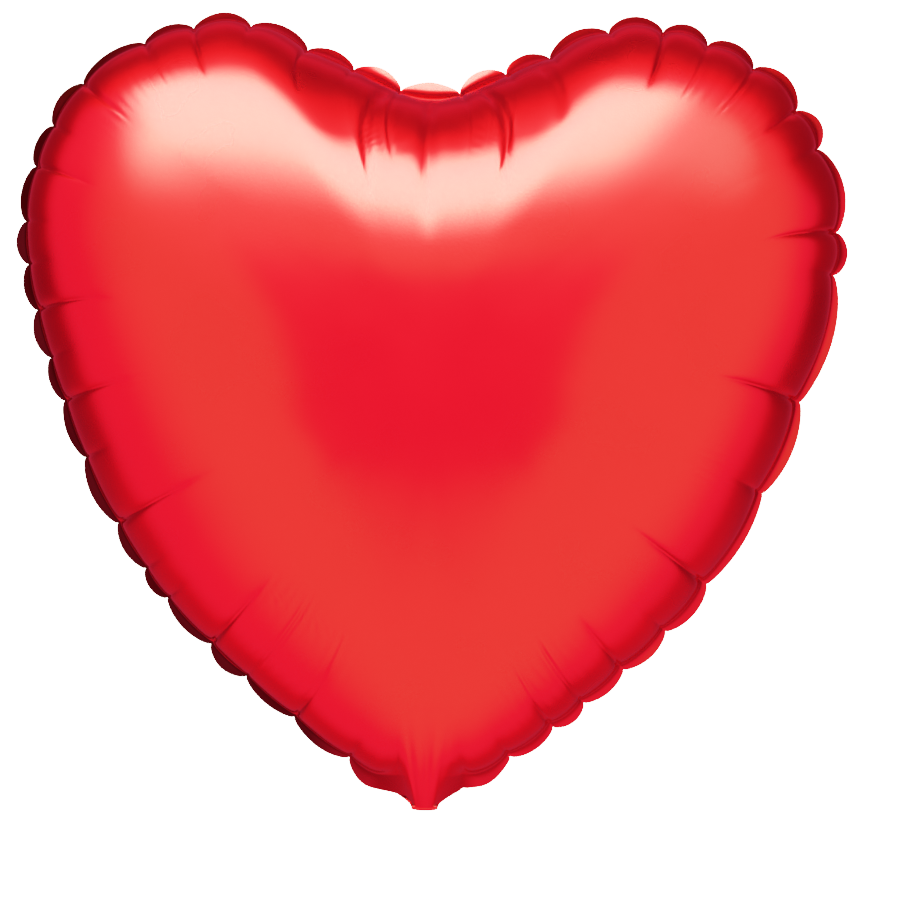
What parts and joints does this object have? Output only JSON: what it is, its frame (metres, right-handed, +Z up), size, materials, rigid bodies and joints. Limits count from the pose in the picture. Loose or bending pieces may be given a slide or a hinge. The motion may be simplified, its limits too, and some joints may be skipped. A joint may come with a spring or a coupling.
{
  "type": "heart-shaped foil balloon",
  "caption": "Inflated heart-shaped foil balloon in metallised red film, with a welded scalloped seam, a self-sealing valve and a filling tail folded up behind the tip.",
  "frame": {"origin": "root of the neck, on the crease where the tail folds, in the plane of the welded seam", "axes": "+Z up from the neck to the lobes, -Y out of the front panel, +X to the right seen from the front"},
  "size_m": [0.3854, 0.1718, 0.3674],
  "materials": {
    "red_foil": "satin metallised film",
    "clear_film": "clear film"
  },
  "bodies": {
    "heart": {"front_panel": "red_foil", "back_panel": "red_foil", "valve_front_film": "clear_film", "valve_back_film": "clear_film"},
    "tail": {"tail_front_ply": "red_foil", "tail_back_ply": "red_foil", "valve_inlet_front_film": "clear_film", "valve_inlet_back_film": "clear_film"}
  },
  "joints": [
    {"name": "tail_fold", "type": "hinge", "parent": "heart", "child": "tail", "pos_m": [0, 0.00105, 0], "axis": [1, 0, 0], "range_deg": [-135, 0]}
  ]
}
